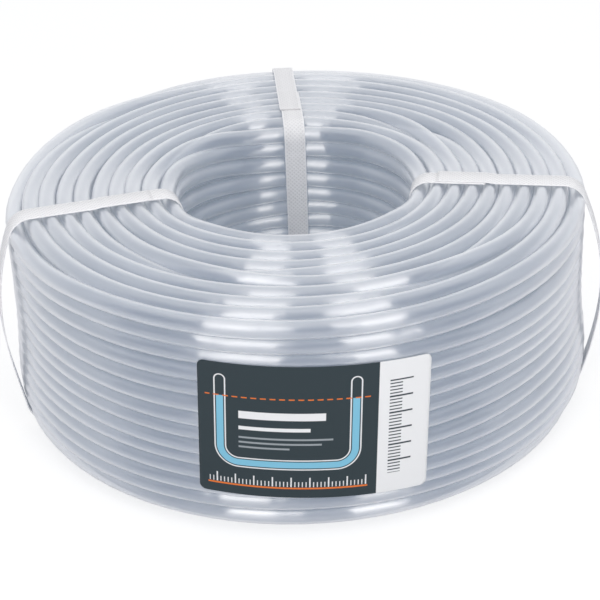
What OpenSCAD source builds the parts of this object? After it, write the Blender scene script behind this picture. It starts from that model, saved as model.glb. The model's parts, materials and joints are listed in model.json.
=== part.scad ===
// Coil of clear level hose, bound by three welded straps, with a label on its front.
// Millimetres, +Z up. The origin is on the coil's axis, on the floor that the straps lie on.
// The label faces -Y. An azimuth is counted in degrees from the front, towards +X.

/* [Hose] */
// Outside diameter of the hose
hose_d = 9.5; // [8:0.1:10]
// Thickness of the hose's wall
hose_wall = 1.1; // [0.8:0.1:2]
// Length of each open end of the hose, past its last turn
hose_end_l = 20; // [15:1:25]

/* [Coil] */
// Outside diameter of the coil
coil_d = 339; // [300:1:400]
// Diameter of the hole through the coil
hole_d = 140; // [125:1:170]
// Height of the coil
coil_h = 136; // [110:1:180]
// Rounding of the coil's top outer edge
top_edge_r = 12.75; // [11:0.25:18]
// Rounding of the coil's bottom outer edge
bottom_edge_r = 16.75; // [14:0.25:22]
// Rounding of the hole's top edge
hole_edge_r = 10.75; // [10.5:0.25:16]
// Rounding of the hole's bottom edge
hole_foot_r = 6; // [3:0.5:10]
// Height of the hole's wall that the outer turns cover, below its rounded edge
hole_wound_h = 33; // [10:1:40]
// Space between neighbouring turns
turn_gap = 0.9; // [0.7:0.1:1.5]
// Space between the outer turns and the turns under them
layer_gap = 0.4; // [0.3:0.1:1]
// How far the inner end of the hose stands off the hole's wall
inner_end_inset = 26; // [20:1:30]

/* [Straps] */
// Width of a strap
strap_w = 13; // [9:0.5:16]
// Thickness of a strap
strap_t = 0.7; // [0.4:0.1:1.2]
// Space between a strap and the coil
strap_gap = 0.3; // [0.2:0.1:1]
// Length of the welded overlap on top of each strap
overlap_l = 28; // [15:1:40]
// How far the left strap bows off the outer wall
left_bow = 14; // [0:0.5:20]
// How far the right strap bows off the outer wall
right_bow = 13; // [0:0.5:20]
// How far the rear strap bows off the outer wall
rear_bow = 6; // [0:0.5:20]
// Distance of the left strap's weld from the coil's axis
left_overlap_r = 100; // [95:1:135]
// Distance of the right strap's weld from the coil's axis
right_overlap_r = 98; // [95:1:135]
// Distance of the rear strap's weld from the coil's axis
rear_overlap_r = 107; // [95:1:135]

/* [Label] */
// Width of the label, along its curve
label_w = 125; // [80:1:150]
// Height of the label
label_h = 82; // [50:1:90]
// Thickness of the label's film
label_t = 0.3; // [0.2:0.05:0.6]
// Rounding of the label's corners
label_corner_r = 3.6; // [1:0.2:8]
// Space between the label and the crests of the turns
label_gap = 0.2; // [0.1:0.05:0.5]
// Height of the label's middle above the floor
label_mid_z = 68; // [60:1:80]

/* [Hidden] */
$fn = 96;

hose_color = [0.80, 0.84, 0.89];
core_color = [0.72, 0.77, 0.84];
strap_color = [0.93, 0.92, 0.91];
label_color = [0.20, 0.26, 0.29];

// Azimuths of the pieces round the coil
left_strap_az = -75.5;
right_strap_az = 81.5;
rear_strap_az = 181;
label_az = 2;
// Lean of the label on the wall, from level
label_lean = -2.4;
inner_end_az = -23;
outer_end_az = 142;

// Each turn of the outer layer is a ring of straight pieces, with a vertex at its crest
rings_per_turn = 24;
tube_sides = 6;
ring_step = 360 / rings_per_turn;
// A straight piece lies this share of the turn's radius from the axis at its middle
chord_share = cos(ring_step / 2);
// Part of a turn in which the inner end leaves the hole's wall
lead_turn_share = 0.25;
// Angle of the bottom outer edge that the last turn goes round
foot_turn_angle = 50;
// Straight pieces in a rounded edge, and in a strap's outer side
edge_steps = 8;
bow_steps = 24;
overrun = 1;

hose_r = hose_d / 2;
bore_r = hose_r - hose_wall;
pitch = hose_d + turn_gap;
coil_r = coil_d / 2;
hole_r = hole_d / 2;
coil_foot = strap_t + strap_gap;
coil_top = coil_foot + coil_h;

// The line that the middles of the turns follow, in a section through the coil's axis
r_in = hole_r + hose_r;
r_out = coil_r - hose_r;
z_top = coil_top - hose_r;
z_low = coil_foot + hose_r;
hole_bend = hole_edge_r - hose_r;
top_bend = top_edge_r - hose_r;
foot_bend = bottom_edge_r - hose_r;
top_run = r_out - top_bend - r_in - hole_bend;
wall_run = z_top - top_bend - z_low - foot_bend;

// Way along a bend per turn at which turns lie one pitch apart, measured straight across
function bend_pitch(bend) = bend * asin(min(1, pitch / bend / 2)) * PI / 90;

// Each stretch of the line, as its length over the way that one turn takes there
run_turns = [
    hole_wound_h / pitch,
    hole_bend * PI / 2 / bend_pitch(hole_bend),
    top_run / pitch,
    top_bend * PI / 2 / bend_pitch(top_bend),
    wall_run / pitch,
    foot_bend * PI * foot_turn_angle / 180 / bend_pitch(foot_bend)
];
function sum_first(list, count) = count == 0 ? 0 : list[count - 1] + sum_first(list, count - 1);
turns_room = sum_first(run_turns, len(run_turns));
end_turn_share = (outer_end_az - inner_end_az) / 360;
turns = floor(turns_room - end_turn_share) + end_turn_share;
ring_count = round(turns * rings_per_turn);

// A place on stretch i of the line, at share f of it, as [radius, height, outward angle]
function on_run(i, f) =
    i == 0 ? [r_in, z_top - hole_bend - hole_wound_h * (1 - f), 180]
    : i == 1 ? [r_in + hole_bend * (1 - cos(90 * f)), z_top - hole_bend * (1 - sin(90 * f)), 180 - 90 * f]
    : i == 2 ? [r_in + hole_bend + top_run * f, z_top, 90]
    : i == 3 ? [r_out - top_bend * (1 - sin(90 * f)), z_top - top_bend * (1 - cos(90 * f)), 90 - 90 * f]
    : i == 4 ? [r_out, z_top - top_bend - wall_run * f, 0]
    : [r_out - foot_bend * (1 - cos(foot_turn_angle * f)),
       z_low + foot_bend * (1 - sin(foot_turn_angle * f)), -foot_turn_angle * f];
function on_line(way, i = 0) =
    i == len(run_turns) - 1 || way <= sum_first(run_turns, i + 1)
    ? on_run(i, (way - sum_first(run_turns, i)) / run_turns[i])
    : on_line(way, i + 1);

// The inner end leaves the hole's wall smoothly in the first part of a turn
function ease(share) = share * share * (3 - 2 * share);
function inset_at(turn) = turn < lead_turn_share ? inner_end_inset * (1 - ease(turn / lead_turn_share)) : 0;
function turn_place(turn) =
    let (place = on_line(turn / turns * turns_room))
    [place[0] - inset_at(turn), place[1], place[2]];
places = [for (i = [0 : ring_count]) turn_place(i / rings_per_turn)];

// Directions at an azimuth: out from the axis, and along a turn
function outward(az) = [sin(az), -cos(az), 0];
function along(az) = [cos(az), sin(az), 0];
up = [0, 0, 1];
function spot(place, az) = place[0] * outward(az) + place[1] * up;

// The straight ends of the hose. The outer one slopes down until it lies as low as the coil.
inner_start = spot(places[0], inner_end_az);
inner_way = -along(inner_end_az);
outer_start = spot(places[ring_count], outer_end_az);
end_run = hose_d + hose_end_l;
outer_slope = asin((places[ring_count][1] - z_low) / end_run);
outer_way = cos(outer_slope) * along(outer_end_az) - sin(outer_slope) * up;
outer_up = cos(outer_slope) * up + sin(outer_slope) * along(outer_end_az);
inner_joint = inner_start + hose_d * inner_way;
outer_joint = outer_start + hose_d * outer_way;

// Six-sided ring round a point, turned so that one vertex points to the outward angle
function ring(middle, side, rise, angle) =
    [for (k = [0 : tube_sides - 1])
        let (turned = angle + 360 * k / tube_sides)
        middle + hose_r * (cos(turned) * side + sin(turned) * rise)];
tube_rings = [
    ring(inner_joint, outward(inner_end_az), up, places[0][2]),
    for (i = [0 : ring_count])
        let (az = inner_end_az + i * ring_step)
        ring(spot(places[i], az), outward(az), up, places[i][2]),
    ring(outer_joint, outward(outer_end_az), outer_up, places[ring_count][2])
];

// Least space between turns, measured at every ring to each other turn at that azimuth
turn_gaps = [
    for (i = [0 : ring_count - rings_per_turn])
        for (j = [i + rings_per_turn : rings_per_turn : ring_count])
            norm([places[j][0] - places[i][0], places[j][1] - places[i][1]]) * chord_share - hose_d
];
// The same along the outer end, which leaves the coil
function end_point(share) = outer_start + end_run * share * outer_way;
function az_of(point) = atan2(point[0], -point[1]);
end_gaps = [
    for (share = [0 : 0.125 : 1])
        let (
            point = end_point(share),
            turn = (az_of(point) - inner_end_az) / 360 + floor(turns) - 1,
            place = turn_place(turn)
        )
        norm([norm([point[0], point[1]]) - place[0], point[2] - place[1]]) - hose_d
];
echo(turns = turns, least_turn_gap = min(min(turn_gaps), min(end_gaps)));

// The turns inside the coil, as one plain body behind the outer layer
skin = hose_r + layer_gap;
core_top = z_top - skin;
core_r = r_out * chord_share - skin;
core_hole_r = r_in + skin;
core_wound_z = places[0][1] - skin;
core_foot_r = places[ring_count][0] * chord_share - skin;
top_core_bend = max(top_bend - skin, layer_gap);
foot_core_bend = max(foot_bend - skin, layer_gap);
hole_core_bend = max(hole_bend - skin, layer_gap);
foot_mid_r = core_r - foot_core_bend;
foot_core_angle = acos(min(1, max(0, (core_foot_r - foot_mid_r) / foot_core_bend)));

function arc(middle, radius, from, to) =
    [for (k = [0 : edge_steps])
        let (angle = from + (to - from) * k / edge_steps)
        middle + radius * [cos(angle), sin(angle)]];
core_outline = concat(
    arc([hole_r + hole_foot_r, coil_foot + hole_foot_r], hole_foot_r, 180, 270),
    [[core_foot_r, coil_foot]],
    arc([foot_mid_r, z_low + foot_bend], foot_core_bend, -foot_core_angle, 0),
    arc([core_r - top_core_bend, core_top - top_core_bend], top_core_bend, 0, 90),
    arc([core_hole_r + hole_core_bend, core_top - hole_core_bend], hole_core_bend, 90, 180),
    [[core_hole_r, core_wound_z], [hole_r, core_wound_z]]
);

module hose_inner_turns() {
    color(core_color)
        rotate_extrude()
            polygon(core_outline);
}

// The turns that show: up the hole's wall, out over the top and down the outer wall, unbroken
module hose_outer_turns() {
    last = len(tube_rings) - 1;
    points = [for (one = tube_rings) each one];
    sides = [
        for (i = [0 : last - 1])
            for (k = [0 : tube_sides - 1])
                let (
                    a = i * tube_sides + k,
                    b = i * tube_sides + (k + 1) % tube_sides,
                    c = a + tube_sides,
                    d = b + tube_sides
                )
                each [[a, b, c], [b, d, c]]
    ];
    first_cap = [for (k = [1 : tube_sides - 2]) [0, k + 1, k]];
    last_first = last * tube_sides;
    last_cap = [for (k = [1 : tube_sides - 2]) [last_first, last_first + k, last_first + k + 1]];
    color(hose_color)
        polyhedron(points, concat(sides, first_cap, last_cap), convexity = 10);
}

// A straight end of the hose, with its bore, that starts at a point and runs one way
module hose_end(start, way) {
    color(hose_color)
        translate(start)
            rotate([0, acos(way[2]), atan2(way[1], way[0])])
                difference() {
                    cylinder(h = hose_end_l, r = hose_r);
                    translate([0, 0, -overrun])
                        cylinder(h = hose_end_l + 2 * overrun, r = bore_r);
                }
}

module hose_inner_end() {
    hose_end(inner_joint, inner_way);
}

module hose_outer_end() {
    hose_end(outer_joint, outer_way);
}

// A strap's flat side stays clear of the hole's wall at its edges too
hole_clear_r = hole_r - r_in * (1 - chord_share) - strap_gap;
strap_hole_r = sqrt(hole_clear_r * hole_clear_r - strap_w * strap_w / 4);
strap_out_r = coil_r + strap_gap;
strap_top = coil_top + strap_gap;
hole_foot_turn = hole_foot_r + strap_gap;
foot_turn = bottom_edge_r + strap_gap;
top_turn = top_edge_r + strap_gap;
hole_turn = hole_edge_r + strap_gap;
bow_foot = strap_t + foot_turn;
bow_top = strap_top - top_turn;

// A strap's way round the coil in a section, at a distance out from its inner face
function strap_loop(bow, out) = concat(
    arc([strap_hole_r + hole_foot_turn, strap_t + hole_foot_turn], hole_foot_turn + out, 180, 270),
    arc([strap_out_r - foot_turn, bow_foot], foot_turn + out, 270, 360),
    [for (k = [1 : bow_steps - 1])
        let (share = k / bow_steps)
        [strap_out_r + out + bow * pow(sin(180 * share), 2), bow_foot + (bow_top - bow_foot) * share]],
    arc([strap_out_r - top_turn, bow_top], top_turn + out, 0, 90),
    arc([strap_hole_r + hole_turn, strap_top - hole_turn], hole_turn + out, 90, 180)
);

// One strap, welded to itself on top of the coil
module strap(az, bow, overlap_r) {
    color(strap_color)
        rotate([90, 0, az - 90])
            linear_extrude(height = strap_w, center = true) {
                difference() {
                    polygon(strap_loop(bow, strap_t));
                    polygon(strap_loop(bow, 0));
                }
                translate([overlap_r - overlap_l / 2, strap_top])
                    square([overlap_l, 2 * strap_t]);
            }
}

module strap_left() {
    strap(left_strap_az, left_bow, left_overlap_r);
}

module strap_right() {
    strap(right_strap_az, right_bow, right_overlap_r);
}

module strap_rear() {
    strap(rear_strap_az, rear_bow, rear_overlap_r);
}

// The label's outline, seen from the front
module label_outline() {
    half_w = (coil_r + label_gap) * sin(label_w / (coil_r + label_gap) * 90 / PI);
    corner_x = half_w - label_corner_r;
    corner_y = label_h / 2 - label_corner_r;
    square([2 * half_w, 2 * corner_y], center = true);
    square([2 * corner_x, label_h], center = true);
    for (x = [-corner_x, corner_x], y = [-corner_y, corner_y])
        translate([x, y])
            circle(r = label_corner_r);
}

module label() {
    inside_r = coil_r + label_gap;
    color(label_color)
        rotate([0, 0, label_az])
            intersection() {
                translate([0, 0, coil_foot])
                    difference() {
                        cylinder(h = coil_h, r = inside_r + label_t);
                        translate([0, 0, -overrun])
                            cylinder(h = coil_h + 2 * overrun, r = inside_r);
                    }
                translate([0, 0, label_mid_z])
                    rotate([90, 0, 0])
                        linear_extrude(height = coil_d)
                            rotate(label_lean)
                                label_outline();
            }
}

hose_inner_turns();
hose_outer_turns();
hose_inner_end();
hose_outer_end();
strap_left();
strap_right();
strap_rear();
label();
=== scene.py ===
"""Looks of a coil of clear level hose, with its straps and label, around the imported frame."""
import json
import math
from typing import NamedTuple

import bpy
import numpy as np
from mathutils import Matrix, Vector


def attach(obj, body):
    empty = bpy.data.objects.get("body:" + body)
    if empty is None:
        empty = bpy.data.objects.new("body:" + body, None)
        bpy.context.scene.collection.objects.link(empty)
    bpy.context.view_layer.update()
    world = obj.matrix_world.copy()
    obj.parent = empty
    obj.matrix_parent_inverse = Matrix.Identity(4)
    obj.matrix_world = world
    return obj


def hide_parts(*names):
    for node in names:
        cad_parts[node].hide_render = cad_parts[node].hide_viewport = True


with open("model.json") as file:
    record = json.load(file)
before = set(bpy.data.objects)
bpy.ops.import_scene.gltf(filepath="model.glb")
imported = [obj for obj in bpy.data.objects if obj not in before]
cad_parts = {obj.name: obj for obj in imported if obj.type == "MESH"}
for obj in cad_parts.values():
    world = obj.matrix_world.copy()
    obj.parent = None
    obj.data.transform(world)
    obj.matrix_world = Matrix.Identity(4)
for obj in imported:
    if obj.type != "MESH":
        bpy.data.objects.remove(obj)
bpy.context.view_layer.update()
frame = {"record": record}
MM = 0.001
UP = np.array([0.0, 0.0, 1.0])
WHITE = (1, 1, 1, 1)
BLACK = (0, 0, 0, 1)
# The layer of surface coordinates on every swept piece and on the label
SURFACE = "surface"

# Camera, fitted to the photograph's outline of the coil
IMAGE_SIDE_PX = 600
FOCAL_PX = 1786.1
CAMERA_ELEVATION = 29.6
CAMERA_ROLL = -2.215
CAMERA_DISTANCE = 1.091
CAMERA_TARGET = (0.63 * MM, 0.0, 52.48 * MM)
SENSOR_W = 36.0

# Hose and coil
HOSE_D = 9.5 * MM
HOSE_WALL = 1.1 * MM
HOSE_END_L = 20 * MM
COIL_R = 169.5 * MM
HOLE_R = 70 * MM
COIL_FOOT = 1 * MM
COIL_TOP = 137 * MM
LAYERS = 10
WHOLE_TURNS = 133
RINGS_PER_TURN = 80
OUTER_SIDES = 18
INNER_SIDES = 14
END_SIDES = 36
# Rounding of the lip of an open end, as a share of the wall
LIP_SHARE = 1 / 6
# Radius of a turn that its neighbours press on, and the run over which it comes to it
PRESSED_R = 5.08 * MM
PRESS_RUN = 60 * MM
# The hose crosses to the next layer in this share of a turn. At the top it rises over its neighbours
CROSSING_SHARE = 0.17
CROSSING_RISE = 2.5 * MM
TOP_CROSSING_AZ = (-160, 101, -58, 4, 198)
# Turns from the coil's top or foot over which the hose comes to lie level
LEVEL_TURNS = 4
# How far each layer stops short of the coil's top, and the outermost one of its foot
TOP_DROPS = [drop * MM for drop in (3.2, 0.6, 0.2, 0.2, 0.2, 0.2, 0.2, 0.2, 0.4, 5.4)]
FOOT_DROP = 10 * MM
# Angle of the foot's rounded edge that the last turn goes round
LAST_FOOT_ANGLE = 50
# The loose inner end: how far it stands off the hole's wall, and where it comes to lie on it
TAIL_INSET = 26 * MM
TAIL_R = 62.5 * MM
TAIL_LEAD_SHARE = 0.25
TAIL_SEAT_AZ = (303, 345)
# The layer, counted from 0, in whose middle the hose is cut into its two lengths
SPLIT_LAYER = 6

# Unevenness of the winding, which dies away within this many degrees of a strap
STRAP_CLEAR_AZ = 6
SMOOTH_RINGS = 9
# Slow wanders of the hose to the side and up, as waves in a turn and their phases
SIDE_WAVES = ((1.31, 0.20), (2.17, 0.55), (0.43, 0.10))
LIFT_WAVES = ((1.57, 0.70), (2.41, 0.15), (0.37, 0.40))
WANDER = 0.8 * MM
SINK = 0.8 * MM
# Turns bunch up and down the walls, and spread over the top, in broad waves that lean round the coil
BUNCH = 2.0 * MM
BUNCH_H = 75 * MM
BUNCH_LEAN = 2
BUNCH_PHASE = 1
SPREAD = 1.3 * MM
SPREAD_R = 45 * MM
SPREAD_LEAN = 3
SPREAD_PHASE = 2
# Away from the straps that draw the coil's top edges down, the edges rise by this much
EDGE_RISE = 2.8 * MM
EDGE_DEPTH = 40 * MM
EDGE_CLEAR_AZ = 17
# Slack bulges low on the two sides, each with its azimuth and depth
BULGES = ((88, 4 * MM), (-88, 2.5 * MM))
BULGE_AZ_HALF = 30
BULGE_Z = 30 * MM
BULGE_Z_HALF = 24 * MM
BULGE_FROM_R = 145 * MM
# The outer turns draw in below this height, by up to this much
TUCK_Z = 26 * MM
TUCK = 1.0 * MM


class StrapForm(NamedTuple):
    """Where a strap lies: its azimuth, its lean off the coil at top and foot, the bend at the coil's
    top edge, the distance of its weld from the axis, and how far it runs askew."""

    az: float
    lean: float
    foot_lean: float
    edge_r: float
    weld_r: float
    skew: float


# The three straps, and the sizes that they share
STRAPS = {
    "left": StrapForm(-75.5, 22, 14, 12.75 * MM, 100 * MM, 0 * MM),
    "right": StrapForm(81.5, 23, 22, 12.75 * MM, 98 * MM, 0 * MM),
    "rear": StrapForm(181.0, 16, 8, 8 * MM, 107 * MM, 5 * MM),
}
STRAP_W = 13 * MM
STRAP_T = 0.7 * MM
STRAP_GAP = 0.3 * MM
# Rounding of a strap's edges, as a share of its thickness
STRAP_SOFT_SHARE = 1 / 5
# Distance of a strap from the axis in the hole, where its flat width clears the round wall
STRAP_HOLE_R = 68.754 * MM
BOTTOM_EDGE_R = 14.75 * MM
HOLE_EDGE_R = 10.75 * MM
HOLE_FOOT_R = 6 * MM
OVERLAP_L = 28 * MM
OVERLAP_RAMP = 7 * MM
# How far the lapped ends lie to either side, and the run over which they come to it
LAP_SHIFT = 0.6 * MM
LAP_RUN = 60 * MM
# A slack strap leans out where it leaves the coil's top and foot. The pull of each lean on the bow between
# them is this share of the bow's height
STRAP_REACH = 0.36
# How sharply a strap turns from its own bow to lie on a bulge in the wall
STRAP_BLEND = 3
# Points along each stretch of a strap, in order from the weld
TOP_IN_STEPS = 24
HOLE_BEND_STEPS = 18
HOLE_WALL_STEPS = 30
HOLE_FOOT_STEPS = 14
UNDER_STEPS = 24
FOOT_BEND_STEPS = 20
BOW_STEPS = 60
TOP_BEND_STEPS = 18
TOP_OUT_STEPS = 40

# Label
LABEL_W = 125 * MM
LABEL_H = 82 * MM
LABEL_T = 0.3 * MM
LABEL_GAP = 0.2 * MM
LABEL_CORNER_R = 3.6 * MM
LABEL_MID_Z = 68 * MM
LABEL_AZ = 2.0
LABEL_LEAN = -2.4
LABEL_ROWS = 40
LABEL_COLUMNS = 64
LABEL_CORNER_STEPS = 7

# The label's print, in millimetres from its lower left corner. A box is x, y, width and height, ticks are
# a pitch and a width, and the pipe is x, y, width, rise and bend
PRINT_SOFT = 0.3
PIPE_LINE = (12, 21, 72, 51, 10)
PIPE_RIM_R = 3.2
PIPE_WALL_R = 2.5
PIPE_BORE_R = 1.9
WATER_TOP_Y = 62
LEVEL_LINE = (4, 61.7, 88, 0.7)
LEVEL_DASHES = (5, 3)
PALE_BARS = ((22, 49, 46, 4.6), (22, 42, 38, 2.2))
GREY_BARS = ((22, 36.6, 50, 1.1), (22, 33.6, 44, 1.1), (22, 30.6, 27, 1.1))
FOOT_SCALE = (5, 7, 86, 3.2)
FOOT_TICKS = (2, 0.5)
FOOT_LONG_SCALE = (5, 7, 86, 6)
FOOT_LONG_TICKS = (10, 0.7)
FOOT_LINE = (5, 5.6, 86, 1.0)
PALE_FROM_X = 96
SIDE_SCALE = (102, 12, 7, 58)
SIDE_TICKS = (2, 0.7)
SIDE_LONG_SCALE = (102, 11.65, 13, 58.7)
SIDE_LONG_TICKS = (10, 1.0)
SLATE = (0.021, 0.036, 0.043, 1)
PAPER = (0.80, 0.80, 0.80, 1)
GREY = (0.30, 0.33, 0.35, 1)
WATER_BLUE = (0.20, 0.50, 0.66, 1)
ORANGE = (0.78, 0.17, 0.02, 1)
LABEL_ROUGHNESS = 0.42
LABEL_SPECULAR = 0.35

# Clear hose: its milky body, and a painted glow that stands in for the light the clear plastic carries inside
# itself
MILK_SHADES = ((0.118, 0.152, 0.225, 1), (0.163, 0.197, 0.27, 1))
MILK_CLOUD = {"Scale": 26.0, "Detail": 3.0}
MILK_ROUGHNESS = 0.6
MILK_ALPHA = 0.58
PAINTED_GLOW = (0.2, 0.238, 0.287, 1)
RIM_SHEEN_ROUGHNESS = 0.4
# Small waves and long kinks in the hose's skin
WAVE_DEPTH = 0.7 * MM
WAVE_GRAIN = {"Scale": 34.0, "Detail": 2.0}
KINK_DEPTH = 3.2 * MM
KINK_GRAIN = {"Scale": 14.0, "Detail": 2.0}
KINK_GIRTH = 2
# Gloss drawn across the hose, its share of the body, and the even gloss that grows towards the hose's edges
DRAWN_TINT = (1.0, 0.96, 0.91, 1)
DRAWN_ROUGHNESS = 0.28
DRAWN_ANISOTROPY = 0.78
DRAWN_SHARE = 0.27
WET_ROUGHNESS = 0.3
WET_RISE = {"From Min": 0.30, "From Max": 0.70, "To Min": 0.05, "To Max": 0.7}

# White strap, with its pressed pattern, whose hollows are painted darker as painted shade
EMBOSS_PITCH = 2.6 * MM
EMBOSS_DEPTH = 0.4 * MM
EMBOSS_MARGIN = 0.9 * MM
EMBOSS_STRENGTH = 0.6
STRAP_GROOVE_SHADE_AND_WHITE = ((0.77, 0.76, 0.76, 1), (0.98, 0.97, 0.97, 1))
STRAP_ROUGHNESS = 0.4
STRAP_THROUGH_TINT = (0.91, 0.90, 0.90, 1)
STRAP_THROUGH_SHARE = 0.1

# Light: each soft box's azimuth, lift, distance, width, height and radiance, then the room and the floor
LEFT_BOX = (-20, 32, 1.25, 0.50, 1.0, 3.2)
RIGHT_BOX = (28, 32, 1.25, 0.43, 1.0, 3.3)
ROOM_SHADES = [(0.10, (0.83, 0.85, 0.89, 1)), (0.45, (0.06, 0.07, 0.11, 1))]
OVERHEAD_RISE = [(0.70, BLACK), (0.95, WHITE)]
OVERHEAD_LIGHT = (1.25, 1.25, 1.25, 1)
FLOOR_HALF = 3.0
FLOOR_TONE = (0.8, 0.8, 0.8, 1)
FLOOR_MIRRORED_TONE = (0.74, 0.74, 0.76, 1)
FLOOR_GLOW = 1.2
FLOOR_GLOW_SHARE = 0.6


def lerp(a, b, share):
    """The place at a share of the way from a to b."""
    return a + (b - a) * share


def ease(share):
    """A share that starts and ends gently."""
    share = np.clip(share, 0, 1)
    return share * share * (3 - 2 * share)


def outward(az):
    """Direction out from the coil's axis, at an azimuth in degrees from the front towards +X."""
    turned = np.radians(az)
    return np.stack([np.sin(turned), -np.cos(turned), 0 * turned], axis=-1)


def along(az):
    """Direction of a turn, at an azimuth in degrees."""
    turned = np.radians(az)
    return np.stack([np.cos(turned), np.sin(turned), 0 * turned], axis=-1)


def azimuth_of(point):
    """Azimuth of a point, in degrees from the front."""
    return math.degrees(math.atan2(point[0], -point[1]))


def azimuth_between(az, other):
    """Degrees to an azimuth from another one, the short way round."""
    return (az - other + 180) % 360 - 180


def mount(name):
    """Place and direction of one of the record's mounts."""
    found = next(m for m in frame["record"]["mounts"] if m["name"] == name)
    return np.array(found["pos_m"]), np.array(found["axis"])


# Sizes and places that follow from those above, and from the two hose ends in the record
HOSE_R = HOSE_D / 2
FIRST_R = HOLE_R + HOSE_R
LAST_R = COIL_R - HOSE_R
TOP_Z = COIL_TOP - HOSE_R
LOW_Z = COIL_FOOT + HOSE_R
FOOT_BEND = BOTTOM_EDGE_R - HOSE_R
INNER_PLACE, INNER_WAY = mount("inner_hose_end")
OUTER_PLACE, OUTER_WAY = mount("outer_hose_end")
INNER_JOINT = INNER_PLACE - INNER_WAY * HOSE_END_L / 2
OUTER_JOINT = OUTER_PLACE - OUTER_WAY * HOSE_END_L / 2
INNER_START = INNER_JOINT - INNER_WAY * HOSE_D
OUTER_START = OUTER_JOINT - OUTER_WAY * HOSE_D


def make_camera():
    """The photograph's view."""
    lift = math.radians(CAMERA_ELEVATION)
    roll = math.radians(CAMERA_ROLL)
    back = Vector((0, -math.cos(lift), math.sin(lift)))
    level = Vector((1, 0, 0))
    rise = back.cross(level)
    right = math.cos(roll) * level + math.sin(roll) * rise
    top = math.cos(roll) * rise - math.sin(roll) * level
    data = bpy.data.cameras.new("camera")
    data.sensor_width = SENSOR_W
    data.lens = FOCAL_PX / IMAGE_SIDE_PX * SENSOR_W
    camera = bpy.data.objects.new("camera", data)
    place = Vector(CAMERA_TARGET) + back * CAMERA_DISTANCE
    camera.matrix_world = Matrix.Translation(place) @ Matrix((right, top, back)).transposed().to_4x4()
    bpy.context.collection.objects.link(camera)
    bpy.context.scene.camera = camera


def mesh_piece(name, points, faces, uv=None):
    """A smooth mesh object. uv holds one pair for each point of each face, in order."""
    mesh = bpy.data.meshes.new(name)
    mesh.from_pydata(np.asarray(points).tolist(), [], [list(f) for f in faces])
    if uv is not None:
        layer = mesh.uv_layers.new(name=SURFACE)
        layer.data.foreach_set("uv", np.asarray(uv, float).ravel())
    mesh.shade_smooth()
    piece = bpy.data.objects.new(name, mesh)
    bpy.context.collection.objects.link(piece)
    return piece


def directions(middles):
    """Unit direction of a path at each of its points."""
    way = np.gradient(middles, axis=0)
    return way / np.linalg.norm(way, axis=1, keepdims=True)


def run_lengths(middles):
    """Length of a path up to each of its points."""
    steps = np.linalg.norm(np.diff(middles, axis=0), axis=1)
    return np.concatenate([[0], np.cumsum(steps)])


def sweep(middles, outline, sides, rises):
    """Rings of an outline, in pairs of side and rise, at each point of a path."""
    return (
        middles[:, None]
        + outline[None, :, :1] * sides[:, None]
        + outline[None, :, 1:] * rises[:, None]
    )


def skin(rings, lengths, girth):
    """Faces and surface coordinates of a swept skin with flat ends."""
    count, sides = rings.shape[:2]
    first = np.arange(count - 1)[:, None] * sides
    here = np.arange(sides)[None]
    after = (here + 1) % sides
    quads = np.stack([first + here, first + here + sides, first + after + sides, first + after], -1)
    reach = np.append(girth, girth[-1] + (girth[1] - girth[0]))
    low = np.repeat(lengths[:-1, None], sides, 1)
    high = np.repeat(lengths[1:, None], sides, 1)
    start = np.repeat(reach[None, :-1], count - 1, 0)
    end = np.repeat(reach[None, 1:], count - 1, 0)
    uv = np.stack([low, start, high, start, high, end, low, end], -1).reshape(-1, 2)
    caps = [list(range(sides)), list(range((count - 1) * sides, count * sides))[::-1]]
    cap_uv = np.zeros((2 * sides, 2))
    return quads.reshape(-1, 4).tolist() + caps, np.concatenate([uv, cap_uv])


def tube(name, middles, radii, sides):
    """A hose along a path, with one radius for each of its points."""
    way = directions(middles)
    side = np.cross(way, UP)
    side /= np.linalg.norm(side, axis=1, keepdims=True)
    rise = np.cross(side, way)
    turned = np.linspace(0, 2 * math.pi, sides, endpoint=False)
    outline = np.stack([np.cos(turned), np.sin(turned)], -1)
    rings = sweep(middles, outline, side * radii[:, None], rise * radii[:, None])
    faces, uv = skin(rings, run_lengths(middles), turned * HOSE_R)
    return mesh_piece(name, rings.reshape(-1, 3), faces, uv)


def pressed(middles, free_start, free_end):
    """Radii of a hose in the winding, where its turns press together, down to those of a free end."""
    run = run_lengths(middles)
    share = np.ones(len(run))
    if free_start:
        share = share * ease(run / PRESS_RUN)
    if free_end:
        share = share * ease((run[-1] - run) / PRESS_RUN)
    return lerp(HOSE_R, PRESSED_R, share)


def level_turns(turns):
    """How far turns counted from the coil's top or foot are held back, to lie level there."""
    whole = np.floor(turns)
    steps = whole + ease((turns - whole - 1 + CROSSING_SHARE) / CROSSING_SHARE)
    return ease((LEVEL_TURNS - turns) / (LEVEL_TURNS - 1)) * (turns - steps)


def sway(turn, waves):
    """A slow wander between -1 and 1 along the hose, from pairs of waves in a turn and phase."""
    parts = [np.sin(2 * math.pi * (rate * turn + phase)) for rate, phase in waves]
    return sum(parts) / len(parts)


def swell(az, radius, height):
    """How far a turn is pushed out by the slack bulges on the coil's sides, or drawn in at its foot."""
    reach = ease((radius - BULGE_FROM_R) / (LAST_R - BULGE_FROM_R))
    low = np.exp(-(((height - BULGE_Z) / BULGE_Z_HALF) ** 2))
    total = 0
    for bulge_az, amount in BULGES:
        off = azimuth_between(az, bulge_az)
        total = total + amount * np.exp(-((off / BULGE_AZ_HALF) ** 2))
    return reach * (total * low - TUCK * ease(1 - height / TUCK_Z))


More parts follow.
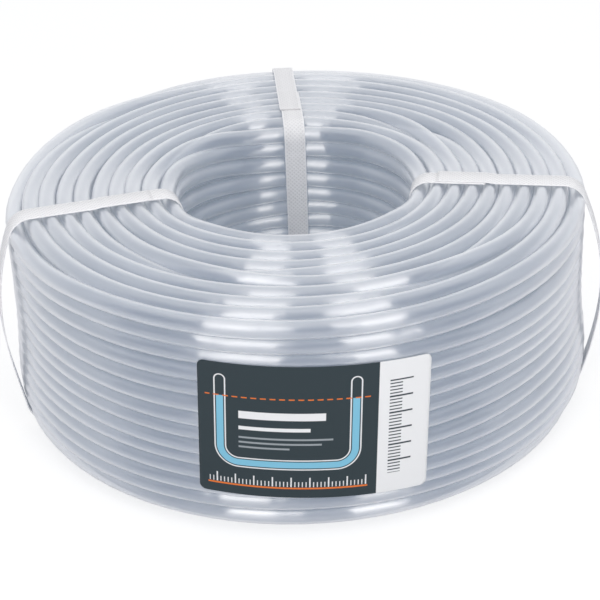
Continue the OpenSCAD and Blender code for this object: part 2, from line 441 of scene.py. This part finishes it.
def settle(turn, az, radius, height):
    """Hand-wound unevenness, which dies away under the straps."""
    free = np.ones(len(az))
    edge_free = np.ones(len(az))
    for form in STRAPS.values():
        off = np.abs(azimuth_between(az, form.az))
        free = free * ease((off - STRAP_CLEAR_AZ) / STRAP_CLEAR_AZ)
        drawn_down = (radius < (FIRST_R + LAST_R) / 2) | (form.edge_r > HOSE_D)
        edge_free = edge_free * np.where(drawn_down, ease((off - EDGE_CLEAR_AZ) / EDGE_CLEAR_AZ), 1)
    side = sway(turn, SIDE_WAVES)
    lift = sway(turn, LIFT_WAVES)
    wall = ease((radius - LAST_R + HOSE_D) / HOSE_D) - ease((FIRST_R + HOSE_D - radius) / HOSE_D)
    top = ease((height - TOP_Z + HOSE_D) / HOSE_D)
    turned = np.radians(az)
    bunch = np.sin(2 * math.pi * height / BUNCH_H + BUNCH_LEAN * turned) * np.sin(turned + BUNCH_PHASE)
    foot = ease((LOW_Z + HOSE_D - height) / HOSE_D)
    between = (1 - top) * (1 - foot)
    loose_height = between * (BUNCH * bunch + WANDER * lift) + (foot - top) * SINK * (1 + lift) / 2
    near_edge = np.abs(wall) * ease((height - TOP_Z + EDGE_DEPTH) / EDGE_DEPTH)
    rise = EDGE_RISE * edge_free * near_edge
    spread = np.sin(2 * math.pi * radius / SPREAD_R + SPREAD_LEAN * turned) * np.sin(turned + SPREAD_PHASE)
    inside = 1 - np.abs(wall)
    loose_radius = inside * (WANDER * side + top * SPREAD * spread) - wall * SINK * (1 + side) / 2
    return radius + free * loose_radius + swell(az, radius, height), height + free * loose_height + rise


def winding():
    """The hose's middle line from the loose inner end to the outer one, and the point of the cut.

    The layers wind up and down in turn. The turns lie level at the coil's top and foot, and
    there the hose crosses to the next layer in a share of a turn. At the top it rides over its neighbours.
    """
    start_az = azimuth_of(INNER_START)
    end_share = (azimuth_of(OUTER_START) - start_az) / 360
    tail = (TAIL_SEAT_AZ[1] - start_az) / 360
    tail_leave = (TAIL_SEAT_AZ[0] - start_az) / 360
    radii = np.linspace(FIRST_R, LAST_R, LAYERS)
    tops = TOP_Z - np.array(TOP_DROPS)
    lows = np.full(LAYERS, LOW_Z)
    lows[-1] = LOW_Z + FOOT_DROP
    turns = WHOLE_TURNS + end_share
    last_turn = turns - 1

    gaps = LAYERS - 1
    layer_turns = (last_turn - tail - gaps * CROSSING_SHARE) / LAYERS
    crossings = tail + layer_turns + np.arange(gaps) * (layer_turns + CROSSING_SHARE)
    for k, az in zip(range(0, gaps, 2), TOP_CROSSING_AZ):
        off = (az - start_az) / 360 - crossings[k]
        crossings[k] += off - round(off)
    for k in range(1, gaps, 2):
        crossings[k] = (crossings[k - 1] + crossings[k + 1]) / 2
    begins = np.concatenate([[tail], crossings + CROSSING_SHARE])
    ends = np.concatenate([crossings, [last_turn]])

    turn = np.arange(round(turns * RINGS_PER_TURN) + 1) / RINGS_PER_TURN
    radius = np.full(len(turn), FIRST_R)
    height = np.full(len(turn), lows[0])
    for k in range(LAYERS):
        rising = k % 2 == 0
        here = (turn >= begins[k]) & (turn <= ends[k])
        below_top = ends[k] - turn[here] if rising else turn[here] - begins[k]
        pitch = (tops[k] - lows[k]) / (ends[k] - begins[k])
        radius[here] = radii[k]
        height[here] = tops[k] - pitch * (below_top - level_turns(below_top))
        if 0 < k < gaps:
            height[here] -= pitch * level_turns(ends[k] - begins[k] - below_top)
        if k < gaps:
            edge = tops if rising else lows
            over = CROSSING_RISE if rising else 0
            share = (turn - ends[k]) / CROSSING_SHARE
            here = (share > 0) & (share < 1)
            share = share[here]
            radius[here] = lerp(radii[k], radii[k + 1], ease(share))
            height[here] = lerp(edge[k], edge[k + 1], ease(share)) + over * np.sin(math.pi * share) ** 2

    foot = np.radians(LAST_FOOT_ANGLE) * np.clip(turn - last_turn, 0, 1)
    lowest = turn > last_turn
    radius[lowest] = LAST_R - FOOT_BEND * (1 - np.cos(foot[lowest]))
    height[lowest] = LOW_Z + FOOT_BEND * (1 - np.sin(foot[lowest]))

    az = start_az + 360 * turn
    smooth = np.hanning(SMOOTH_RINGS)
    smooth /= smooth.sum()
    uneven = settle(turn, az, radius, height)
    for line, loose in zip((radius, height), uneven):
        padded = np.pad(loose, SMOOTH_RINGS, mode="edge")
        loose = np.convolve(padded, smooth, mode="same")[SMOOTH_RINGS:-SMOOTH_RINGS]
        line[:] = lerp(loose, line, ease(turn - last_turn))

    loose_end = turn < tail
    inset = lerp(FIRST_R - TAIL_INSET, TAIL_R, ease(turn / TAIL_LEAD_SHARE))
    seated = ease((turn - tail_leave) / (tail - tail_leave))
    radius[loose_end] = lerp(inset, radius, seated)[loose_end]
    height[loose_end] = lerp(INNER_START[2], height, ease(turn / tail))[loose_end]

    middles = radius[:, None] * outward(az) + height[:, None] * UP
    middles = np.concatenate([[INNER_JOINT], middles, [OUTER_JOINT]])
    split_turn = (begins[SPLIT_LAYER] + ends[SPLIT_LAYER]) / 2
    return middles, 1 + round(split_turn * RINGS_PER_TURN)


def hose_end(name, joint, way):
    """An open end of the hose, cut square, with its bore."""
    lip = HOSE_WALL * LIP_SHARE
    bore = HOSE_R - HOSE_WALL
    outline = np.array([
        (0, bore), (HOSE_END_L - lip, bore), (HOSE_END_L, bore + lip),
        (HOSE_END_L, HOSE_R - lip), (HOSE_END_L - lip, HOSE_R), (0, HOSE_R),
    ])
    turned = np.linspace(0, 2 * math.pi, END_SIDES, endpoint=False)
    side = np.cross(way, UP)
    side /= np.linalg.norm(side)
    rise = np.cross(side, way)
    round_way = np.cos(turned)[:, None] * side + np.sin(turned)[:, None] * rise
    rings = joint + outline[:, 0][None, :, None] * way + outline[:, 1][None, :, None] * round_way[:, None]
    count, steps = rings.shape[:2]
    here = np.arange(count)[:, None] * steps
    after = (np.arange(count)[:, None] + 1) % count * steps
    step = np.arange(steps)[None]
    onward = (step + 1) % steps
    faces = np.stack([here + step, after + step, after + onward, here + onward], -1).reshape(-1, 4)
    return mesh_piece(name, rings.reshape(-1, 3), faces.tolist())


def arc(middle, radius, begin, end, steps):
    """Points of an arc, from one angle to another."""
    turned = np.radians(np.linspace(begin, end, steps))
    return np.asarray(middle) + radius * np.stack([np.cos(turned), np.sin(turned)], -1)


def straight(begin, end, steps):
    """Points of a straight run, without its two ends."""
    shares = np.linspace(0, 1, steps)[1:-1, None]
    return lerp(np.asarray(begin)[None], np.asarray(end)[None], shares)


def hang(begin, begin_way, end, end_way, steps):
    """Points of a smooth curve, without its two ends, that leaves each of them in its own direction."""
    share = np.linspace(0, 1, steps)[1:-1, None]
    rest = 1 - share
    return (
        rest**3 * begin
        + 3 * rest**2 * share * (begin + begin_way)
        + 3 * rest * share**2 * (end + end_way)
        + share**3 * end
    )


def strap_line(form):
    """A strap's middle line in a section through the axis, from one end of its weld round to the other."""
    top = COIL_TOP + STRAP_GAP
    low = STRAP_T
    wall = COIL_R + STRAP_GAP
    hole = STRAP_HOLE_R
    hole_turn = HOLE_EDGE_R + STRAP_GAP
    hole_foot_turn = HOLE_FOOT_R + STRAP_GAP
    foot_turn = BOTTOM_EDGE_R + STRAP_GAP
    top_turn = form.edge_r + STRAP_GAP
    weld_out = form.weld_r + OVERLAP_L / 2
    weld_in = form.weld_r - OVERLAP_L / 2
    foot_middle = (wall - foot_turn, low + foot_turn)
    foot_bend = arc(foot_middle, foot_turn, 270, 360 - form.foot_lean, FOOT_BEND_STEPS)
    top_bend = arc((wall - top_turn, top - top_turn), top_turn, form.lean, 90, TOP_BEND_STEPS)
    reach = STRAP_REACH * (top_bend[0, 1] - foot_bend[-1, 1])
    up = np.radians(form.foot_lean)
    down = np.radians(form.lean)
    up_way = reach * np.array([np.sin(up), np.cos(up)])
    down_way = reach * np.array([np.sin(down), -np.cos(down)])
    last_run = straight((wall - top_turn, top), (weld_in, top), TOP_OUT_STEPS)
    line = np.concatenate([
        [[weld_out, top]],
        straight((weld_out, top), (hole + hole_turn, top), TOP_IN_STEPS),
        arc((hole + hole_turn, top - hole_turn), hole_turn, 90, 180, HOLE_BEND_STEPS),
        straight((hole, top - hole_turn), (hole, low + hole_foot_turn), HOLE_WALL_STEPS),
        arc((hole + hole_foot_turn, low + hole_foot_turn), hole_foot_turn, 180, 270, HOLE_FOOT_STEPS),
        straight((hole + hole_foot_turn, low), (wall - foot_turn, low), UNDER_STEPS),
        foot_bend,
        hang(foot_bend[-1], up_way, top_bend[0], down_way, BOW_STEPS),
        top_bend,
        last_run,
        [[weld_in, top]],
    ])
    off_wall = line[:, 0] - wall
    pushed = np.maximum(swell(form.az, LAST_R, line[:, 1]), 0) * (line[:, 0] > (hole + wall) / 2)
    clear = (np.maximum(off_wall, 0) ** STRAP_BLEND + pushed**STRAP_BLEND) ** (1 / STRAP_BLEND)
    line[:, 0] = wall + np.where(off_wall > 0, clear, off_wall + pushed)
    way = directions(line)
    out = np.stack([way[:, 1], -way[:, 0]], -1)
    last = np.arange(len(line)) >= len(line) - len(last_run) - 1
    climb = ease((weld_out + OVERLAP_RAMP - line[:, 0]) / OVERLAP_RAMP) * last
    return line + out * (STRAP_T / 2 + climb[:, None] * STRAP_T), out


def strap(side):
    """One strap: a flat band round the coil's section, lapped on itself where it is welded."""
    form = STRAPS[side]
    line, out = strap_line(form)
    askew = form.skew * ((line[:, :1] - STRAP_HOLE_R) / (COIL_R - STRAP_HOLE_R) - 0.5)
    run = run_lengths(line)[:, None]
    askew += LAP_SHIFT * (ease(1 - (run[-1] - run) / LAP_RUN) - ease(1 - run / LAP_RUN))
    middles = line[:, :1] * outward(form.az) + askew * along(form.az) + line[:, 1:] * UP
    rises = out[:, :1] * outward(form.az) + out[:, 1:] * UP
    sides = np.repeat(along(form.az)[None], len(line), 0)
    w = STRAP_W / 2
    t = STRAP_T / 2
    soft = STRAP_T * STRAP_SOFT_SHARE
    outline = np.array([
        (-w + soft, -t), (w - soft, -t), (w, -t + soft), (w, t - soft),
        (w - soft, t), (-w + soft, t), (-w, t - soft), (-w, -t + soft),
    ])
    rings = sweep(middles, outline, sides, rises)
    faces, uv = skin(rings, run_lengths(middles), outline[:, 0])
    return mesh_piece(f"{side}_strap_band", rings.reshape(-1, 3), faces, uv)


def grid_rim(grid):
    """Numbers of the points round a grid's edge, in order."""
    return np.concatenate([grid[0, :-1], grid[:-1, -1], grid[-1, :0:-1], grid[:0:-1, 0]])


def label():
    """The film on the wall, curved with it and rounded at its corners."""
    half_w = LABEL_W / 2
    half_h = LABEL_H / 2
    corner = np.radians(np.linspace(0, 90, LABEL_CORNER_STEPS))
    edge = half_h - LABEL_CORNER_R * (1 - np.sin(corner))
    inset = LABEL_CORNER_R * (1 - np.cos(corner))
    middle_rows = np.linspace(-edge[0], edge[0], LABEL_ROWS)[1:-1]
    rows = np.concatenate([-edge[::-1], middle_rows, edge])
    insets = np.concatenate([inset[::-1], np.zeros(len(middle_rows)), inset])
    columns = np.linspace(-1, 1, LABEL_COLUMNS)
    u = (half_w - insets)[:, None] * columns[None]
    v = np.repeat(rows[:, None], len(columns), 1)
    lean = math.radians(LABEL_LEAN)
    x = u * math.cos(lean) - v * math.sin(lean)
    z = u * math.sin(lean) + v * math.cos(lean) + LABEL_MID_Z
    grids = []
    for r in (COIL_R + LABEL_GAP, COIL_R + LABEL_GAP + LABEL_T):
        az = LABEL_AZ + np.degrees(x / r)
        grids.append(r * outward(az) + z[..., None] * UP)
    height, width = u.shape
    back, front = np.arange(2 * height * width).reshape(2, height, width)
    face = np.stack([front[:-1, :-1], front[:-1, 1:], front[1:, 1:], front[1:, :-1]], -1)
    reverse = np.stack([back[:-1, :-1], back[1:, :-1], back[1:, 1:], back[:-1, 1:]], -1)
    rim_front = grid_rim(front)
    rim_back = grid_rim(back)
    rim = np.stack([rim_back, np.roll(rim_back, -1), np.roll(rim_front, -1), rim_front], -1)
    faces = np.concatenate([face.reshape(-1, 4), reverse.reshape(-1, 4), rim])
    points = np.concatenate([g.reshape(-1, 3) for g in grids])
    flat = np.stack([u / LABEL_W + 0.5, v / LABEL_H + 0.5], -1).reshape(-1, 2)
    uv = np.concatenate([flat, flat])[faces]
    return mesh_piece("label_film", points, faces.tolist(), uv)


class Value:
    """A number or colour in a tree of nodes. Arithmetic on it adds Math nodes."""

    def __init__(self, nodes, socket):
        self.nodes = nodes
        self.socket = socket

    def math(self, operation, *others):
        """A Math node on this value and the others."""
        return self.nodes.add("ShaderNodeMath", {"operation": operation}, dict(enumerate((self, *others))))

    def __add__(self, other):
        return self.math("ADD", other)

    def __sub__(self, other):
        return self.math("SUBTRACT", other)

    def __mul__(self, other):
        return self.math("MULTIPLY", other)

    def __truediv__(self, other):
        return self.math("DIVIDE", other)

    def __rsub__(self, other):
        return self.nodes.add("ShaderNodeMath", {"operation": "SUBTRACT"}, {0: other, 1: self})

    def __rtruediv__(self, other):
        return self.nodes.add("ShaderNodeMath", {"operation": "DIVIDE"}, {0: other, 1: self})

    __radd__ = __add__
    __rmul__ = __mul__


class Nodes:
    """The nodes of a material or of the room. One method, add, makes them all."""

    def __init__(self, owner):
        owner.use_nodes = True
        self.tree = owner.node_tree
        self.tree.nodes.clear()

    def add(self, kind, settings=None, sockets=None, out=0):
        """Adds a node. Its settings come first, then the values or links of its sockets."""
        made = self.tree.nodes.new(kind)
        for key, value in (settings or {}).items():
            if key == "stops":
                stops = made.color_ramp.elements
                while len(stops) < len(value):
                    stops.new(1)
                for stop, (place, colour) in zip(stops, value):
                    stop.position = place
                    stop.color = colour
            else:
                setattr(made, key, value)
        for key, value in (sockets or {}).items():
            if isinstance(value, Value):
                self.tree.links.new(value.socket, made.inputs[key])
            else:
                made.inputs[key].default_value = value
        return Value(self, made.outputs[out]) if len(made.outputs) else made

    def blend(self, share, first, second):
        """A colour between two colours."""
        return self.add("ShaderNodeMix", {"data_type": "RGBA"}, {0: share, 6: first, 7: second}, 2)

    def mix(self, share, first, second):
        """A shader between two shaders."""
        return self.add("ShaderNodeMixShader", None, {0: share, 1: first, 2: second})

    def part(self, vector, axis):
        """One of a vector's three numbers."""
        return self.add("ShaderNodeSeparateXYZ", None, {"Vector": vector}, axis)

    def surface(self):
        """The piece's own surface coordinates."""
        return self.add("ShaderNodeUVMap", {"uv_map": SURFACE})


def new_material(name):
    """A material with no nodes yet."""
    material = bpy.data.materials.new(name)
    return material, Nodes(material)


def hose_finish():
    """Clear flexible plastic, a little milky, drawn lengthwise, so its gloss spreads across it."""
    material, nodes = new_material("clear_hose")
    place = nodes.add("ShaderNodeTexCoord", None, None, "Object")
    cloud = nodes.add("ShaderNodeTexNoise", None, {"Vector": place, **MILK_CLOUD}, "Fac")
    milk = nodes.add(
        "ShaderNodeBsdfPrincipled",
        None,
        {
            "Base Color": nodes.blend(cloud, *MILK_SHADES),
            "Roughness": MILK_ROUGHNESS,
            "Specular IOR Level": 0.0,
            "Alpha": MILK_ALPHA,
            "Sheen Weight": 1.0,
            "Sheen Roughness": RIM_SHEEN_ROUGHNESS,
            "Sheen Tint": WHITE,
            # Painted glow: the hose shines by itself, standing in for light carried through the clear plastic
            "Emission Color": PAINTED_GLOW,
            "Emission Strength": 1.0,
        },
    )

    run = nodes.surface()
    girth = nodes.part(run, "Y") * KINK_GIRTH
    drawn_out = nodes.add("ShaderNodeCombineXYZ", None, {"X": nodes.part(run, "X"), "Y": girth})
    waves = nodes.add("ShaderNodeTexNoise", None, {"Vector": place, **WAVE_GRAIN}, "Fac")
    flat_noise = {"noise_dimensions": "2D"}
    kinks = nodes.add("ShaderNodeTexNoise", flat_noise, {"Vector": drawn_out, **KINK_GRAIN}, "Fac")
    height = waves * WAVE_DEPTH + kinks * KINK_DEPTH
    wavy = nodes.add("ShaderNodeBump", None, {"Height": height, "Strength": 1.0, "Distance": 1.0})

    drawn = nodes.add(
        "ShaderNodeBsdfAnisotropic",
        None,
        {"Color": DRAWN_TINT, "Roughness": DRAWN_ROUGHNESS, "Anisotropy": DRAWN_ANISOTROPY, "Normal": wavy},
    )
    wet = nodes.add(
        "ShaderNodeBsdfAnisotropic",
        None,
        {"Color": WHITE, "Roughness": WET_ROUGHNESS, "Normal": wavy},
    )
    facing = nodes.add("ShaderNodeLayerWeight", None, {"Blend": 0.5}, "Facing")
    gentle = {"interpolation_type": "SMOOTHSTEP"}
    limb = nodes.add("ShaderNodeMapRange", gentle, {"Value": facing, **WET_RISE})
    outside = nodes.mix(limb, nodes.mix(DRAWN_SHARE, milk, drawn), wet)
    clear = nodes.add("ShaderNodeBsdfTransparent", None, {"Color": WHITE})
    inner_face = nodes.add("ShaderNodeNewGeometry", None, None, "Backfacing")
    nodes.add("ShaderNodeOutputMaterial", None, {"Surface": nodes.mix(inner_face, outside, clear)})
    return material


def strap_finish():
    """White plastic band, pressed with a pattern of small diamonds between plain margins, its hollows painted
    darker as painted shade.
    """
    material, nodes = new_material("strap")
    run = nodes.surface()
    length = nodes.part(run, "X")
    across = nodes.part(run, "Y")
    half = EMBOSS_PITCH / 2
    ribs = (length + across).math("PINGPONG", half)
    other_ribs = (length - across).math("PINGPONG", half)
    margin = (across.math("ABSOLUTE") - (STRAP_W / 2 - EMBOSS_MARGIN)).math("GREATER_THAN", 0.0)
    height = (ribs.math("MAXIMUM", other_ribs) / half).math("MAXIMUM", margin)
    pressed_in = nodes.add(
        "ShaderNodeBump",
        None,
        {"Height": height, "Strength": EMBOSS_STRENGTH, "Distance": EMBOSS_DEPTH},
    )
    # Painted shade: the band's white is painted darker in the pattern's pressed-in hollows
    white_with_painted_groove_shade = nodes.blend(height, *STRAP_GROOVE_SHADE_AND_WHITE)
    band = nodes.add(
        "ShaderNodeBsdfPrincipled",
        None,
        {"Base Color": white_with_painted_groove_shade, "Roughness": STRAP_ROUGHNESS, "Normal": pressed_in},
    )
    through = nodes.add("ShaderNodeBsdfTranslucent", None, {"Color": STRAP_THROUGH_TINT})
    nodes.add("ShaderNodeOutputMaterial", None, {"Surface": nodes.mix(STRAP_THROUGH_SHARE, band, through)})
    return material


class Print:
    """Flat shapes on the label's face, in millimetres from its lower left corner."""

    def __init__(self, nodes):
        flat = nodes.surface()
        self.x = nodes.part(flat, "X") * (LABEL_W / MM)
        self.y = nodes.part(flat, "Y") * (LABEL_H / MM)

    def fill(self, beyond):
        """1 inside a shape and 0 outside it, from the distance beyond its edge."""
        return (0.5 - beyond / PRINT_SOFT).math("MAXIMUM", 0.0).math("MINIMUM", 1.0)

    def box(self, x, y, width, height):
        """Distance beyond the edge of a box, from its lower left corner."""
        wide = (self.x - (x + width / 2)).math("ABSOLUTE") - width / 2
        tall = (self.y - (y + height / 2)).math("ABSOLUTE") - height / 2
        return wide.math("MAXIMUM", tall)

    def pipe(self, x, y, width, rise, bend):
        """Distance from the middle line of an open pipe with two upright arms and a level foot."""
        arm = (self.x - (x + width / 2)).math("ABSOLUTE") - (width / 2 - bend)
        across = arm.math("MAXIMUM", 0.0)
        low = (self.y - (y + bend)).math("MINIMUM", 0.0)
        high = (self.y - (y + rise)).math("MAXIMUM", 0.0)
        line = ((across * across + low * low).math("SQRT") - bend).math("ABSOLUTE")
        return (line * line + high * high).math("SQRT")

    def scale(self, box, value, ticks):
        """Distance beyond the edge of the lines that repeat along a box."""
        pitch, width = ticks
        return self.box(*box).math("MAXIMUM", value.math("PINGPONG", pitch / 2) - width / 2)


def label_finish():
    """Printed film: a bent pipe with its water level, plain bars and measuring scales, without lettering."""
    material, nodes = new_material("label")
    art = Print(nodes)
    pipe = art.pipe(*PIPE_LINE)
    colour = SLATE
    for shape, ink in (
        (pipe - PIPE_RIM_R, PAPER),
        (pipe - PIPE_WALL_R, SLATE),
        ((pipe - PIPE_BORE_R).math("MAXIMUM", art.y - WATER_TOP_Y), WATER_BLUE),
        (art.scale(LEVEL_LINE, art.x, LEVEL_DASHES), ORANGE),
        *((art.box(*bar), PAPER) for bar in PALE_BARS),
        *((art.box(*bar), GREY) for bar in GREY_BARS),
        (art.scale(FOOT_SCALE, art.x, FOOT_TICKS), PAPER),
        (art.scale(FOOT_LONG_SCALE, art.x, FOOT_LONG_TICKS), PAPER),
        (art.box(*FOOT_LINE), ORANGE),
        (PALE_FROM_X - art.x, PAPER),
        (art.scale(SIDE_SCALE, art.y, SIDE_TICKS), SLATE),
        (art.scale(SIDE_LONG_SCALE, art.y, SIDE_LONG_TICKS), SLATE),
    ):
        colour = nodes.blend(art.fill(shape), colour, ink)
    film = nodes.add(
        "ShaderNodeBsdfPrincipled",
        None,
        {"Base Color": colour, "Roughness": LABEL_ROUGHNESS, "Specular IOR Level": LABEL_SPECULAR},
    )
    nodes.add("ShaderNodeOutputMaterial", None, {"Surface": film})
    return material


def finish_piece(piece, material, body, slot, *nodes):
    """Gives a piece its material and its body, and hides the parts that it stands for."""
    piece.data.materials.append(material)
    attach(piece, body)
    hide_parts(*nodes)


def soft_box(name, az, lift, distance, width, height, radiance):
    """A rectangular lamp that faces the coil."""
    data = bpy.data.lights.new(name, "AREA")
    data.shape = "RECTANGLE"
    data.size = width
    data.size_y = height
    data.energy = radiance * math.pi * width * height
    lamp = bpy.data.objects.new(name, data)
    middle = Vector((0, 0, (COIL_TOP + COIL_FOOT) / 2))
    back = Vector(outward(az)) * math.cos(math.radians(lift)) + Vector(UP) * math.sin(math.radians(lift))
    lamp.location = middle + back * distance
    lamp.rotation_mode = "QUATERNION"
    lamp.rotation_quaternion = (-back).to_track_quat("-Z", "Y")
    bpy.context.collection.objects.link(lamp)


def background_share(nodes):
    """1 for what the camera sees straight or through a clear piece, and 0 for what lights the coil."""
    straight_on = nodes.add("ShaderNodeLightPath", None, None, "Is Camera Ray")
    through = nodes.add("ShaderNodeLightPath", None, None, "Is Transmission Ray")
    return straight_on.math("MAXIMUM", through)


def make_light():
    """Two tall soft boxes in front, in a room that is dim in front, pale elsewhere and bright overhead."""
    soft_box("left_box", *LEFT_BOX)
    soft_box("right_box", *RIGHT_BOX)
    room = bpy.data.worlds.new("room")
    bpy.context.scene.world = room
    nodes = Nodes(room)
    way = nodes.add("ShaderNodeTexCoord", None, None, "Generated")
    front = nodes.part(way, "Y") * -1
    walls = nodes.add("ShaderNodeValToRGB", {"stops": ROOM_SHADES}, {"Fac": front})
    high = nodes.add("ShaderNodeValToRGB", {"stops": OVERHEAD_RISE}, {"Fac": nodes.part(way, "Z")})
    lit = nodes.blend(high, walls, OVERHEAD_LIGHT)
    light = nodes.add("ShaderNodeBackground", None, {"Color": lit, "Strength": 1.0})
    white = nodes.add("ShaderNodeBackground", None, {"Color": WHITE, "Strength": 1.0})
    nodes.add("ShaderNodeOutputWorld", None, {"Surface": nodes.mix(background_share(nodes), light, white)})


def make_floor():
    """A pale floor that shows white to the camera and keeps the coil's shadow."""
    corners = [(x * FLOOR_HALF, y * FLOOR_HALF, 0) for x, y in ((-1, -1), (1, -1), (1, 1), (-1, 1))]
    floor = mesh_piece("floor", corners, [(0, 1, 2, 3)])
    material, nodes = new_material("floor")
    lit = nodes.add("ShaderNodeBsdfDiffuse", None, {"Color": FLOOR_TONE})
    dim = nodes.add("ShaderNodeBsdfDiffuse", None, {"Color": FLOOR_MIRRORED_TONE})
    mirrored = nodes.add("ShaderNodeLightPath", None, None, "Is Glossy Ray")
    glow = nodes.add("ShaderNodeEmission", None, {"Color": WHITE, "Strength": FLOOR_GLOW})
    seen = background_share(nodes) * FLOOR_GLOW_SHARE
    shown = nodes.mix(seen, nodes.mix(mirrored, lit, dim), glow)
    nodes.add("ShaderNodeOutputMaterial", None, {"Surface": shown})
    floor.data.materials.append(material)


# Camera and hose
make_camera()
MIDDLES, SPLIT = winding()
INNER_LINE = MIDDLES[: SPLIT + 1]
OUTER_LINE = MIDDLES[SPLIT:]
hose = hose_finish()
inner_turns = tube("inner_winding", INNER_LINE, pressed(INNER_LINE, True, False), INNER_SIDES)
finish_piece(inner_turns, hose, "coil", "clear_hose", "hose_inner_turns")
outer_turns = tube("outer_winding", OUTER_LINE, pressed(OUTER_LINE, False, True), OUTER_SIDES)
finish_piece(outer_turns, hose, "coil", "clear_hose", "hose_outer_turns")
finish_piece(hose_end("inner_open_end", INNER_JOINT, INNER_WAY), hose, "coil", "clear_hose", "hose_inner_end")
finish_piece(hose_end("outer_open_end", OUTER_JOINT, OUTER_WAY), hose, "coil", "clear_hose", "hose_outer_end")

# Straps and label
band = strap_finish()
for side in STRAPS:
    finish_piece(strap(side), band, f"{side}_strap", "strap", f"strap_{side}")
finish_piece(label(), label_finish(), "coil", "label", "label")

# Floor and light
make_floor()
make_light()
bpy.context.scene.view_settings.view_transform = "Standard"
